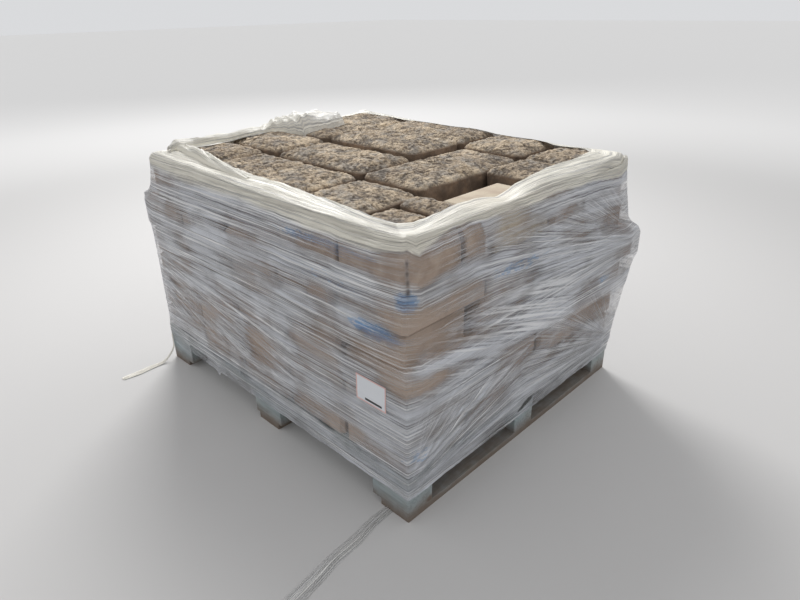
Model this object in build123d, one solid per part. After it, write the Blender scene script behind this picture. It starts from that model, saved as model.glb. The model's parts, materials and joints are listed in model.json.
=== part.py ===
from build123d import *
from math import cos, radians, sin
import os

# A pallet of concrete walling blocks with pitched, rock-like faces, six courses high, wrapped
# in stretch film. Millimetres. X runs along the pallet's 1200 side, Y along its 1000 side and
# Z up. The origin is the middle of the pallet's underside.

# Timber pallet, nine blocks, open to the ground between its three runners
pallet_length = 1200
pallet_width = 1000
runner_width = 100
runner_thickness = 20
pallet_block_length = 130
pallet_block_width = 90
pallet_block_height = 80
stringer_width = 95
stringer_thickness = 19
deck_board_count = 7
deck_board_width = 98
deck_board_thickness = 19
board_edge_break = 2

# Concrete blocks, each lying on its bed with the pitched face up
block_width = 225
block_long = 440
block_medium = 290
block_short = 225
block_thickness = 97
block_joint = 15
column_count = 5
lower_course_count = 5
pitch_drop = 18
pitch_inset = 16
worn_corner = 10

# Top course: the pitched faces stand proud, and the rim of the load tilts up to the back left
top_pitch_drop = 12
top_pitch_inset = 14
crown_rise = 12
crown_share = 0.19
rim_height = 749
rim_fall_along_x = -20 / 1200
rim_rise_along_y = 18 / 1000
corner_block_length = 188
cross_block_width = 210
smooth_block_width = 172
smooth_block_length = 232
smooth_block_height = 102
smooth_edge_break = 4

# Stretch film: many layers in one skin, which turns in over the rim of the load
film_thickness = 1.5
film_clearance = 0.3
film_edge_height = 67
film_corner_cut = 7
film_band_width = 86
film_band_corner = 26
film_groove = 8
film_groove_depth_below_joint = 6
film_bridge_above_joint = 30
film_bridge_below_joint = 45
film_shoulder = 13
film_ease_over_margin = 2

# Bunched end of the film, lying on the back left of the rim
bunch_clearance = 0.3
bunch_sides = 8
# Stations along the rim: place along Y, distance of the middle in from the rim, width, height
bunch_stations = [
    (-428, 49, 12, 8),
    (-392, 36, 52, 40),
    (-345, 37, 38, 26),
    (-200, 37, 40, 28),
    (-60, 46, 54, 34),
    (20, 66, 118, 52),
    (110, 88, 170, 62),
    (190, 92, 146, 50),
    (250, 76, 56, 20),
]

# Loose tails of the film
tail_strip_width = 26
tail_strip_thickness = 4
side_tail_top = 104
side_tail_bend = 52
side_tail_fall = 58
side_tail_reach = 206
side_tail_radius = 16
front_tail_x = (530, 572)
front_tail_length = 345
front_tail_widths = (30, 46)
front_tail_height = 9
front_tail_break = 3

# Blank paper label stuck to the film near the front right corner
label_width = 104
label_height = 72
label_thickness = 0.5
label_centre_x = 478
label_centre_z = 334

# How far each course has slid at its corners: front left, front right, back right, back left
course_slides = [
    ((0, 0), (0, 0), (0, 0), (0, 0)),
    ((0, 0), (0, 0), (5, 8), (0, 4)),
    ((0, 0), (0, 0), (14, 24), (0, 8)),
    ((-8, 0), (-30, 4), (45, 58), (0, 16)),
    ((-22, -4), (0, 0), (0, -6), (-6, 0)),
    ((45, 20), (0, 0), (-5, -12), (0, 0)),
]

# Order of the block lengths along a column of a lower course
column_orders = [
    (block_long, block_medium, block_short),
    (block_short, block_long, block_medium),
    (block_medium, block_short, block_long),
]

corner_signs = [(-1, -1), (1, -1), (1, 1), (-1, 1)]

deck_top = (runner_thickness + pallet_block_height + stringer_thickness
            + deck_board_thickness)
# Where the film folds over the margins of the top course and where it reaches their crowns
band_fold = top_pitch_inset - film_ease_over_margin
band_crest = band_fold + crown_share * block_width
# A face moved out by 1 needs this much more cut at a square corner to stay parallel there
cut_per_growth = 2 - 2 ** 0.5
top_course_bottom = deck_top + lower_course_count * block_thickness
half_length = pallet_length / 2
half_width = pallet_width / 2
# A quadrilateral bent by more than this is made as two triangles
flatness = 1e-5


# Solids with flat faces, drawn through rings that have the same number of points

def polygon(points):
    return Face(Wire.make_polygon(points, close=True))


def band_of_faces(ring, following):
    # A bent quadrilateral is creased along the diagonal that stands further out, as a tight skin
    # is, so that both faces of a thin skin are creased alike
    faces = []
    for i in range(len(ring)):
        j = (i + 1) % len(ring)
        a, b, c, d = ring[i], ring[j], following[j], following[i]
        bend = (b - a).cross(c - a).normalized().dot(d - a)
        if abs(bend) < flatness:
            faces.append(polygon([a, b, c, d]))
        elif (a + c).length > (b + d).length:
            faces += [polygon([a, b, c]), polygon([a, c, d])]
        else:
            faces += [polygon([a, b, d]), polygon([b, c, d])]
    return faces


def column(rings):
    # A solid with its first and last ring as end faces
    faces = [polygon(rings[0]), polygon(rings[-1])]
    for ring, following in zip(rings, rings[1:]):
        faces += band_of_faces(ring, following)
    return Solid(Shell(faces))


def tube(rings):
    # A solid whose last ring leads back to the first, with an opening right through it
    faces = []
    for i in range(len(rings)):
        faces += band_of_faces(rings[i - 1], rings[i])
    return Solid(Shell(faces))


# Pallet

def timber(length_x, length_y, height):
    board = Box(length_x, length_y, height, align=(Align.CENTER, Align.CENTER, Align.MIN))
    return chamfer(board.edges().filter_by(Axis.Z), board_edge_break)


def spread(count, width, room):
    # Centres of pieces of one width, the outer two flush with the ends of the room
    pitch = (room - width) / (count - 1)
    return [-room / 2 + width / 2 + pitch * i for i in range(count)]


def build_pallet():
    pieces = {}
    for i, x in enumerate(spread(3, runner_width, pallet_length)):
        pieces[f"bottom_board_{i + 1}"] = Pos(x, 0, 0) * timber(
            runner_width, pallet_width, runner_thickness)
    block_xs = spread(3, pallet_block_length, pallet_length)
    block_ys = spread(3, pallet_block_width, pallet_width)
    for i, x in enumerate(block_xs):
        for j, y in enumerate(block_ys):
            pieces[f"pallet_block_{3 * i + j + 1}"] = Pos(x, y, runner_thickness) * timber(
                pallet_block_length, pallet_block_width, pallet_block_height)
    stringer_bottom = runner_thickness + pallet_block_height
    for j, y in enumerate(spread(3, stringer_width, pallet_width)):
        pieces[f"stringer_board_{j + 1}"] = Pos(0, y, stringer_bottom) * timber(
            pallet_length, stringer_width, stringer_thickness)
    deck_bottom = stringer_bottom + stringer_thickness
    for i, x in enumerate(spread(deck_board_count, deck_board_width, pallet_length)):
        pieces[f"deck_board_{i + 1}"] = Pos(x, 0, deck_bottom) * timber(
            deck_board_width, pallet_width, deck_board_thickness)
    return pieces


# Concrete blocks

def cut_corners(corners, cut):
    # The points of a four-cornered outline whose corners are cut off, each by the same length
    points = []
    for i, corner in enumerate(corners):
        before = (corners[i - 1] - corner).normalized()
        after = (corners[(i + 1) % 4] - corner).normalized()
        points += [corner + before * cut, corner + after * cut]
    return points


def outline(length_x, length_y, z):
    # The outline of a block at height z
    corners = [Vector(s * length_x / 2, t * length_y / 2, z) for s, t in corner_signs]
    return cut_corners(corners, worn_corner)


def pitched_block(length_x, length_y, side_height):
    # A lower block: straight sides, then margins that fall away round the pitched face
    return column([
        outline(length_x, length_y, 0),
        outline(length_x, length_y, side_height - pitch_drop),
        outline(length_x - 2 * pitch_inset, length_y - 2 * pitch_inset, side_height),
    ])


def crowned_block(length_x, length_y, side_height):
    # A block of the top course: its pitched face swells up from the margins to a crown
    inset = top_pitch_inset + crown_share * min(length_x, length_y)
    margin_top = side_height + top_pitch_drop
    return column([
        outline(length_x, length_y, 0),
        outline(length_x, length_y, side_height),
        outline(length_x - 2 * top_pitch_inset, length_y - 2 * top_pitch_inset, margin_top),
        outline(length_x - 2 * inset, length_y - 2 * inset, margin_top + crown_rise),
    ])


def smooth_block(length_x, length_y):
    # One block of the top course lies with its smooth moulded back up
    body = Box(length_x, length_y, smooth_block_height,
               align=(Align.CENTER, Align.CENTER, Align.MIN))
    return chamfer(body.edges().group_by(Axis.Z)[-1], smooth_edge_break)


def slide(course, x, y):
    # Blends the slides of the four corners of a course at a place in it
    across = 0.5 + x / pallet_length
    along = 0.5 + y / pallet_width
    weights = [(1 - across) * (1 - along), across * (1 - along), across * along,
               (1 - across) * along]
    slides = course_slides[course]
    return (sum(w * s[0] for w, s in zip(weights, slides)),
            sum(w * s[1] for w, s in zip(weights, slides)))


def lower_course_plan(course):
    # Places and sizes of the blocks of a lower course, column by column along X
    plan = []
    length = column_count * block_width + (column_count - 1) * block_joint
    for i in range(column_count):
        x = -length / 2 + block_width / 2 + i * (block_width + block_joint)
        order = column_orders[(i + course) % len(column_orders)]
        y = -(sum(order) + block_joint * (len(order) - 1)) / 2
        for size in order:
            plan.append((x, y + size / 2, block_width, size))
            y += size + block_joint
    return plan


def top_course_plan():
    # Places, sizes and lows of the blocks of the top course. A low is how far the upright sides
    # stop below the rim of the load, and the smooth block has None.
    edge_x = (column_count * block_width + (column_count - 1) * block_joint) / 2
    edge_y = (block_long + block_medium + block_short + 2 * block_joint) / 2
    pitch = block_width + block_joint
    column_x = [-edge_x + block_width / 2 + i * pitch for i in range(column_count)]
    second_row = -edge_y + block_medium + block_joint
    third_row = second_row + cross_block_width + block_joint
    back_row = second_row + block_long + block_joint
    left_x = -edge_x + block_medium / 2
    middle_start = -edge_x + block_medium + block_joint
    middle_length = column_x[3] - block_width / 2 - block_joint - middle_start
    middle_x = middle_start + middle_length / 2
    middle_depth = (edge_y - third_row - block_joint) / 2
    back_depth = edge_y - back_row
    cut_length = block_medium - corner_block_length - block_joint
    side_start = second_row + smooth_block_length + 2 * block_joint
    side_length = back_row - block_joint - side_start
    plan = [(column_x[i], -edge_y + block_medium / 2, block_width, block_medium, low)
            for i, low in enumerate((8, 10, 8, 10))]
    plan += [
        (column_x[4], -edge_y + corner_block_length / 2, block_width, corner_block_length, 14),
        (column_x[4], second_row - block_joint - cut_length / 2, block_width, cut_length, 9),
        (left_x, second_row + cross_block_width / 2, block_medium, cross_block_width, 8),
        (middle_x, second_row + cross_block_width / 2, middle_length, cross_block_width, 4),
        (column_x[3], second_row + block_long / 2, block_width, block_long, 6),
        (edge_x - smooth_block_width / 2, second_row + block_joint + smooth_block_length / 2,
         smooth_block_width, smooth_block_length, None),
        (column_x[4], side_start + side_length / 2, block_width, side_length, 4),
        (left_x, (third_row + edge_y) / 2, block_medium, edge_y - third_row, 2),
        (middle_x, third_row + middle_depth / 2, middle_length, middle_depth, -6),
        (middle_x, edge_y - middle_depth / 2, middle_length, middle_depth, 1),
        (column_x[3], edge_y - back_depth / 2, block_width, back_depth, 3),
        (column_x[4], edge_y - back_depth / 2, block_width, back_depth, 4),
    ]
    return plan


def rim_plane(x, y):
    return rim_height + rim_fall_along_x * x + rim_rise_along_y * y


def side_height_under_rim(x, y, length_x, length_y, low):
    corners = [rim_plane(x + s * length_x / 2, y + t * length_y / 2) for s, t in corner_signs]
    return min(corners) - low - top_course_bottom


def build_course(course):
    # The blocks of one course, and the corners of their sides in plan
    is_top = course == lower_course_count
    bottom = deck_top + course * block_thickness
    blocks = []
    corners = []
    for x, y, length_x, length_y, *low in top_course_plan() if is_top else lower_course_plan(course):
        dx, dy = slide(course, x, y)
        x, y = x + dx, y + dy
        if not is_top:
            body = pitched_block(length_x, length_y, block_thickness)
        elif low[0] is None:
            body = smooth_block(length_x, length_y)
        else:
            body = crowned_block(length_x, length_y,
                                 side_height_under_rim(x, y, length_x, length_y, low[0]))
        blocks.append(Pos(x, y, bottom) * body)
        corners += [Vector(x + s * length_x / 2, y + t * length_y / 2) for s, t in corner_signs]
    return blocks, corners


# Stretch film. Its shape is a stack of four-cornered wraps, each drawn tight round a course.

def tight_wrap(course, points):
    # Moves each side of the slid outline of a course until it touches the outermost point
    frame = []
    for s, t in corner_signs:
        dx, dy = slide(course, s * half_length, t * half_width)
        frame.append(Vector(s * half_length + dx, t * half_width + dy))
    sides = []
    for i in range(4):
        run = (frame[(i + 1) % 4] - frame[i]).normalized()
        out = Vector(run.Y, -run.X)
        sides.append((out, max(out.dot(point) for point in points)))
    wrap = []
    for i in range(4):
        (a, reach_a), (b, reach_b) = sides[i - 1], sides[i]
        spread_ab = a.X * b.Y - a.Y * b.X
        wrap.append(Vector((reach_a * b.Y - reach_b * a.Y) / spread_ab,
                           (a.X * reach_b - b.X * reach_a) / spread_ab))
    return wrap


def grown(wrap, distance):
    return [corner + Vector(s * distance, t * distance)
            for corner, (s, t) in zip(wrap, corner_signs)]


def outer(wrap_a, wrap_b):
    # Corner by corner, whichever of two wraps reaches further out
    return [Vector(s * max(s * a.X, s * b.X), t * max(t * a.Y, t * b.Y))
            for a, b, (s, t) in zip(wrap_a, wrap_b, corner_signs)]


def halfway(wrap_a, wrap_b):
    return [(a + b) * 0.5 for a, b in zip(wrap_a, wrap_b)]


def level_ring(wrap, growth, cut, z):
    return [Vector(p.X, p.Y, z) for p in cut_corners(grown(wrap, growth), cut)]


def rim_ring(wrap, growth, cut, offset):
    # A ring that lies parallel to the rim of the load
    return [Vector(p.X, p.Y, rim_plane(p.X, p.Y) + offset)
            for p in cut_corners(grown(wrap, growth), cut)]


def film_levels(wraps):
    # The wraps of the film from its lower edge up to the rim, each with its height and the cut
    # of its corners
    pallet = [Vector(s * half_length, t * half_width) for s, t in corner_signs]
    levels = [(film_edge_height, pallet, board_edge_break),
              (deck_top + film_clearance, pallet, board_edge_break)]
    cut = film_corner_cut
    for course, wrap in enumerate(wraps):
        bottom = deck_top + course * block_thickness
        top = bottom + block_thickness
        if course > 0:
            levels.append((bottom, outer(wrap, grown(wraps[course - 1], -film_shoulder)), cut))
        levels.append((bottom + film_bridge_above_joint, wrap, cut))
        if course < lower_course_count:
            reach = outer(wrap, halfway(wrap, wraps[course + 1]))
            groove = grown(reach, -film_groove)
            levels.append((top - film_bridge_below_joint, wrap, cut))
            levels.append((top - pitch_drop, reach, cut))
            levels.append((top - film_groove_depth_below_joint, groove, cut))
    return levels


def film_skin(wraps, growth, lift):
    # The rings of one face of the film, from its lower edge up and in over the rim. The outer
    # face has grown by the thickness of the film and is lifted by as much.
    extra_cut = cut_per_growth * (growth - film_clearance)
    rings = [level_ring(wrap, growth, cut + extra_cut, z) for z, wrap, cut in film_levels(wraps)]
    rim = wraps[-1]
    cut = film_corner_cut + extra_cut
    margin_top = top_pitch_drop + film_clearance + lift
    band_top = margin_top + crown_rise
    rings.append(rim_ring(rim, growth, cut, lift))
    rings.append(rim_ring(rim, growth - band_fold, cut, margin_top))
    rings.append(rim_ring(rim, growth - band_crest, cut, band_top))
    rings.append(rim_ring(rim, -film_band_width, film_band_corner, band_top))
    return rings


def build_film(wraps):
    outer_face = film_skin(wraps, film_clearance + film_thickness, film_thickness)
    inner_face = film_skin(wraps, film_clearance, 0)
    return tube(outer_face + inner_face[::-1])


def band_height(rim_inset, x, y):
    # The upper face of the film where it rises over the margins of the top course
    run = rim_inset + film_clearance + film_thickness - band_fold
    share = min(1, max(0, run / (band_crest - band_fold)))
    return (rim_plane(x, y) + top_pitch_drop + film_clearance + film_thickness
            + crown_rise * share)


def build_bunch(wraps):
    # The gathered end of the film: a thin rope along the left rim that swells to a crumpled heap
    front_left, back_left = wraps[-1][0], wraps[-1][3]
    stations = []
    for y, inset, width, height in bunch_stations:
        share = (y - front_left.Y) / (back_left.Y - front_left.Y)
        rim_x = front_left.X + share * (back_left.X - front_left.X)
        inner_edge = inset + width / 2
        seats = [min(inner_edge, band_crest), inner_edge]
        base = max(band_height(seat, rim_x + seat, y) for seat in seats) + bunch_clearance
        angles = [radians(180 * i / bunch_sides) for i in range(bunch_sides + 1)]
        stations.append([Vector(rim_x + inset + width / 2 * cos(angle), y,
                                base + height * sin(angle)) for angle in angles])
    return column(stations)


def build_side_tail():
    # A strip torn loose at the front left corner, which drops to the floor and lies along it
    face_y = -(half_width + film_clearance + film_thickness + film_clearance)
    half = tail_strip_thickness / 2
    path = FilletPolyline((face_y - half, side_tail_top), (face_y - half, side_tail_bend),
                          (face_y - side_tail_fall, half), (face_y - side_tail_reach, half),
                          radius=side_tail_radius)
    profile = Plane.YZ * trace(path, tail_strip_thickness)
    centre_x = -half_length + tail_strip_width / 2
    return Pos(centre_x - tail_strip_width / 2, 0, 0) * extrude(profile, tail_strip_width,
                                                                dir=(1, 0, 0))


def build_front_tail():
    # The rope-like end of the film, lying on the floor from under the front right runner
    front = -(half_width + film_clearance)
    (x0, x1), (w0, w1) = front_tail_x, front_tail_widths
    plan = make_face(Polyline((x0 - w0 / 2, front), (x1 - w1 / 2, front - front_tail_length),
                              (x1 + w1 / 2, front - front_tail_length), (x0 + w0 / 2, front),
                              close=True))
    strip = extrude(plan, front_tail_height)
    return chamfer(strip.faces().sort_by(Axis.Z)[-1].edges(), front_tail_break)


def build_label(wraps):
    # Stands clear of the furthest front corner of the courses that it spans
    reach = (label_height + block_thickness) / 2
    front = min(corner.Y for course, wrap in enumerate(wraps) for corner in wrap[:2]
                if abs(deck_top + (course + 0.5) * block_thickness - label_centre_z) < reach)
    y = front - film_clearance - film_thickness - film_clearance
    return Pos(label_centre_x, y, label_centre_z) * Box(
        label_width, label_thickness, label_height,
        align=(Align.CENTER, Align.MAX, Align.CENTER))


pieces = build_pallet()
wraps = []
for course in range(lower_course_count + 1):
    blocks, corners = build_course(course)
    wraps.append(tight_wrap(course, corners))
    pieces[f"block_course_{course + 1}"] = Compound(children=blocks)
pieces["film_wrap"] = build_film(wraps)
pieces["film_bunch"] = build_bunch(wraps)
pieces["film_tail_side"] = build_side_tail()
pieces["film_tail_front"] = build_front_tail()
pieces["label"] = build_label(wraps)

os.makedirs("parts", exist_ok=True)
for node, piece in pieces.items():
    export_step(piece, f"parts/{node}.step")
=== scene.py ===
import json
import math
import bmesh
import bpy
import numpy as np
from mathutils import Matrix, Vector, noise
from mathutils.bvhtree import BVHTree
from mathutils.geometry import convex_hull_2d

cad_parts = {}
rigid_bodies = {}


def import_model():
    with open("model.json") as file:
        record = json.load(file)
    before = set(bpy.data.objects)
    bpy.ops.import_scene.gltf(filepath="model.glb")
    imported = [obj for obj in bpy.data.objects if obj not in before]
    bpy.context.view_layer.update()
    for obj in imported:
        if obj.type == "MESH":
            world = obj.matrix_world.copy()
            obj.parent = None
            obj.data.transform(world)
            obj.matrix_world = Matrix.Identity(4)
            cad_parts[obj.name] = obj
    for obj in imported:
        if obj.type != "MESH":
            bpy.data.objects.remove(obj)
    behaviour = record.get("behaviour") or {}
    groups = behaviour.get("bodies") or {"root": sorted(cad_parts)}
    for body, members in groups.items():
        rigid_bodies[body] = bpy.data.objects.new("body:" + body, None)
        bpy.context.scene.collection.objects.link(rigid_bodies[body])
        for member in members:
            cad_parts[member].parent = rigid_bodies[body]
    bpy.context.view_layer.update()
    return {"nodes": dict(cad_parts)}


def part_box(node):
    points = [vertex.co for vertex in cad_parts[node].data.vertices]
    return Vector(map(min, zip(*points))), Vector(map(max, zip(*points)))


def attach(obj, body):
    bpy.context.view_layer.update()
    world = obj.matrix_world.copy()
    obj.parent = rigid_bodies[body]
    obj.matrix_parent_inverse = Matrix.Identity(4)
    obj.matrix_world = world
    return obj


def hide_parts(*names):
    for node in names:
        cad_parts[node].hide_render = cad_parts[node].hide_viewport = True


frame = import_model()
nodes = frame["nodes"]


# Pallet timber
# Sawn softwood boards and blocks, nailed together. The wood has greyed out of doors, and its cool
# blue-green tint is painted shade; the runners are brown with soil where they stand on the ground.

# The cool blue-green tint of these timber colours is painted shade: the blue of the shade the
# pallet stands in
pale_wood = (0.40, 0.43, 0.42, 1)
late_wood = (0.26, 0.275, 0.26, 1)
grey_wood_in_blue_shade = (0.33, 0.41, 0.45, 1)
knot_wood = (0.13, 0.075, 0.04, 1)
soil_brown = (0.16, 0.105, 0.07, 1)
soil_reach = 0.045


class Tree:
    # Builds a node tree. Most methods add one node and give back its output, and their values
    # are plain numbers and colours or the outputs of other nodes.

    def __init__(self, tree):
        self.tree = tree

    def put(self, value, socket):
        if isinstance(value, bpy.types.NodeSocket):
            self.tree.links.new(value, socket)
        else:
            socket.default_value = value

    def node(self, kind, inputs=None, **settings):
        made = self.tree.nodes.new(kind)
        for name, value in settings.items():
            setattr(made, name, value)
        for name, value in (inputs or {}).items():
            self.put(value, made.inputs[name])
        return made

    def math(self, operation, total, *values):
        for value in values:
            total = self.node("ShaderNodeMath", {0: total, 1: value},
                              operation=operation).outputs[0]
        return total

    def times(self, *values):
        return self.math("MULTIPLY", *values)

    def plus(self, *values):
        return self.math("ADD", *values)

    def minus(self, *values):
        return self.math("SUBTRACT", *values)

    def most(self, *values):
        return self.math("MAXIMUM", *values)

    def vector(self, operation, *values, output=0):
        return self.node("ShaderNodeVectorMath", dict(enumerate(values)),
                         operation=operation).outputs[output]

    def scaled(self, vector, size):
        return self.node("ShaderNodeVectorMath", {0: vector, 3: size},
                         operation="SCALE").outputs[0]

    def part(self, vector, axis):
        return self.node("ShaderNodeSeparateXYZ", {"Vector": vector}).outputs[axis]

    def ramp(self, factor, low, high, low_value=0.0, high_value=1.0):
        return self.node("ShaderNodeMapRange", {
            "Value": factor, "From Min": low, "From Max": high, "To Min": low_value,
            "To Max": high_value}, interpolation_type="SMOOTHSTEP").outputs["Result"]

    def blend(self, share, first, second):
        return self.node("ShaderNodeMix", {0: share, 6: first, 7: second},
                         data_type="RGBA").outputs[2]

    def coats(self, colour, *coats):
        # Lays colours over each other, each with its own cover
        for cover, tone in coats:
            colour = self.blend(cover, colour, tone)
        return colour

    def noise(self, vector, scale, detail=3.0, roughness=0.55, output=0):
        return self.node("ShaderNodeTexNoise", {"Vector": vector, "Scale": scale, "Detail": detail,
                                                "Roughness": roughness}).outputs[output]

    def cells(self, vector, scale):
        return self.node("ShaderNodeTexVoronoi", {"Vector": vector, "Scale": scale}).outputs

    def stretched(self, vector, scale, turn=(0, 0, 0)):
        return self.node("ShaderNodeMapping", {"Vector": vector, "Scale": scale,
                                               "Rotation": turn}).outputs["Vector"]

    def place(self):
        return self.node("ShaderNodeTexCoord").outputs["Object"]

    def lay(self, name):
        return self.node("ShaderNodeUVMap", uv_map=name).outputs[0]

    def attribute(self, name):
        return self.node("ShaderNodeAttribute", attribute_name=name).outputs["Fac"]


class Finish(Tree):
    # A material with one plain shader

    def __init__(self, name):
        self.material = bpy.data.materials.new(name)
        self.material.use_nodes = True
        super().__init__(self.material.node_tree)
        self.tree.nodes.clear()
        self.shader = self.node("ShaderNodeBsdfPrincipled")
        self.end = self.node("ShaderNodeOutputMaterial", {"Surface": self.shader.outputs["BSDF"]})

    def done(self, colour, roughness, relief=None, depth=0.001, strength=1.0):
        self.put(colour, self.shader.inputs["Base Color"])
        self.put(roughness, self.shader.inputs["Roughness"])
        if relief:
            bump = self.node("ShaderNodeBump", {"Height": relief, "Distance": depth,
                                                "Strength": strength})
            self.put(bump.outputs["Normal"], self.shader.inputs["Normal"])
        return self.material


def timber_finish(name, along):
    # The grain runs along one of the axes, 0, 1 or 2
    t = Finish(name)
    place = t.place()
    coarse, fine = [9.0] * 3, [260.0] * 3
    coarse[along], fine[along] = 0.9, 9.0
    rings = t.times(t.noise(t.stretched(place, coarse), 6.0, 2.0), 9.0)
    rings = t.math("PINGPONG", rings, 1.0)
    fibre = t.noise(t.stretched(place, fine), 1.0, 2.0)
    knots = t.cells(t.stretched(place, [c * 0.8 for c in coarse]), 1.0)["Distance"]
    knot = t.ramp(knots, 0.06, 0.13, 1.0, 0.0)
    weather = t.ramp(t.noise(place, 5.0, 4.0), 0.35, 0.65)
    splash = t.plus(t.part(place, "Z"), t.times(t.noise(place, 30.0), -0.04))
    soil = t.ramp(splash, -0.02, soil_reach, 0.85, 0.0)
    colour = t.coats(pale_wood, (t.ramp(rings, 0.25, 1.0), late_wood),
                     (t.times(weather, 0.6), grey_wood_in_blue_shade), (t.times(fibre, 0.35), late_wood),
                     (t.times(knot, 0.7), knot_wood), (soil, soil_brown))
    return t.done(colour, 0.82, t.plus(t.times(rings, 0.4), fibre), 0.0012, 0.8)


def dress(start, finish):
    # Gives the CAD pieces whose names start like this a finish
    for name in nodes:
        if name.startswith(start):
            mesh = nodes[name].data
            mesh.materials.clear()
            mesh.materials.append(finish)


dress("stringer_board", timber_finish("softwood_along_x", 0))
dress(("bottom_board", "deck_board"), timber_finish("softwood_along_y", 1))
dress("pallet_block", timber_finish("softwood_blocks", 0))


# Lower courses of blocks
# Dense walling blocks of tan concrete, cast in a mould. Their sides are smooth with small air
# holes, stained by damp, and differ a little in tone from block to block.

cast_concrete = (0.405, 0.305, 0.235, 1)
pale_concrete = (0.52, 0.41, 0.33, 1)
damp_concrete = (0.25, 0.19, 0.16, 1)


def cast_finish(name, light, middle, dark):
    t = Finish(name)
    place = t.place()
    tone = t.ramp(t.noise(place, 3.2, 2.0), 0.38, 0.62)
    stain = t.ramp(t.noise(t.stretched(place, (1, 1, 0.45)), 11.0, 5.0, 0.62), 0.46, 0.72)
    grains = t.noise(place, 260.0, 3.0, 0.7)
    # The air holes are painted dark, painted shade in them, and dented by the bump
    hole = t.ramp(t.cells(place, 150.0)["Distance"], 0.10, 0.22, 1.0, 0.0)
    colour = t.coats(middle, (tone, light), (t.times(stain, 0.75), dark),
                     (t.times(grains, 0.28), dark), (t.times(hole, 0.5), dark))
    return t.done(colour, 0.9, t.minus(t.times(grains, 0.5), hole), 0.0008, 0.7)


lower_courses = sorted(name for name in nodes if name.startswith("block_course"))[:-1]
dress(tuple(lower_courses),
      cast_finish("cast_concrete", pale_concrete, cast_concrete, damp_concrete))


# Top course of blocks
# The same blocks with their pitched faces up: the face was split off with a blade, so it is all
# lumps, chips and grit, and rolls down to the arrises. Each face is one skin over a plain body.

top_course = "block_course_6"
face_spacing = 0.0031
outer_radius, inner_radius = 0.010, 0.030
roll_down = 0.057
free_roll = (0, 0.005, 0.012, 0.045)
free_rises = (0.12, 0.37, 0.56, 1.0)
shoulder_in, shoulder_down, shoulder_reach = 0.020, 0.045, 0.065
rim_arris, rim_along_x, rim_along_y = 0.737, -0.0167, 0.018
joint_closed = 0.0018
block_tip = 0.010
block_stand = 0.0015
body_rows = (0.003, 0.006, 0.010, 0.015, 0.021, 0.028, 0.060)
film_band = 0.080
on_rim = 0.03
lump_size, lump_height = 0.075, 0.0055
chip_size, chip_height = 0.024, 0.26
grit_size, grit_height = 0.0075, 0.0030
wander = 0.020
film_press = 0.0045
face_brown = (0.34, 0.265, 0.19, 1)
face_tan = (0.70, 0.57, 0.41, 1)
face_grey = (0.30, 0.295, 0.285, 1)
# Painted shade in the pits and hollows of the split faces
pit_shade_brown = (0.085, 0.068, 0.055, 1)
# Painted shade and damp dirt on the sides of the top blocks in the joints
side_dirt_and_shade_brown = (0.25, 0.175, 0.12, 1)
side_dirt_and_shade_dark = (0.13, 0.095, 0.07, 1)


def placed(name, data):
    made = bpy.data.objects.new(name, data)
    bpy.context.scene.collection.objects.link(made)
    return made


def mesh_of(name, points, faces, values):
    # A mesh with one value per point for each named attribute
    mesh = bpy.data.meshes.new(name)
    mesh.from_pydata(points, [], faces)
    for key, numbers in values.items():
        layer = mesh.attributes.new(key, "FLOAT", "POINT")
        layer.data.foreach_set("value", np.ascontiguousarray(numbers, dtype=np.float32).ravel())
    return mesh


def solids_of(name):
    # The points of each separate solid of a node
    whole = bmesh.new()
    whole.from_mesh(nodes[name].data)
    bmesh.ops.remove_doubles(whole, verts=whole.verts, dist=1e-6)
    waiting = set(whole.verts)
    solids = []
    while waiting:
        group, edge = [], [waiting.pop()]
        while edge:
            vert = edge.pop()
            group.append(vert)
            for link in vert.link_edges:
                other = link.other_vert(vert)
                if other in waiting:
                    waiting.remove(other)
                    edge.append(other)
        solids.append(np.array([vert.co[:] for vert in group]))
    whole.free()
    return solids


def round_plan(across, along, half_x, half_y, radius):
    # Moves grid points so that the corners of their rectangle become round, and returns with
    # them how far each lies inside the outline
    over_x = np.clip((np.abs(across) - (half_x - radius)) / radius, 0, 1)
    over_y = np.clip((np.abs(along) - (half_y - radius)) / radius, 0, 1)
    in_corner = (over_x > 0) & (over_y > 0)
    round_x = over_x * np.sqrt(1 - over_y ** 2 / 2)
    round_y = over_y * np.sqrt(1 - over_x ** 2 / 2)
    x = np.where(in_corner, np.sign(across) * (half_x - radius + radius * round_x), across)
    y = np.where(in_corner, np.sign(along) * (half_y - radius + radius * round_y), along)
    straight = np.minimum(half_x - np.abs(x), half_y - np.abs(y))
    depth = np.where(in_corner, radius - radius * np.hypot(round_x, round_y), straight)
    return x, y, np.maximum(depth, 0)


def leant(x, y, z):
    # The outer rim of the load leans in above the foot of its shoulder, most at the arris, so
    # that the film bends over it in a wide round curve. Two corners stay square.
    arris = rim_arris + rim_along_x * x + rim_along_y * y
    shift = shoulder_in * np.clip((z - arris) / shoulder_down + 1, 0, 1) ** 2
    for corner_x, corner_y in (outline_low[:2], outline_high[:2]):
        shift = shift * np.clip(np.hypot(x - corner_x, y - corner_y) / 0.35 - 0.15, 0, 1)

    def share(inset):
        return np.clip(1 - inset / shoulder_reach, 0, 1)

    return (x + shift * (share(x - outline_low[0]) - share(outline_high[0] - x)),
            y + shift * (share(y - outline_low[1]) - share(outline_high[1] - y)))


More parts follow.
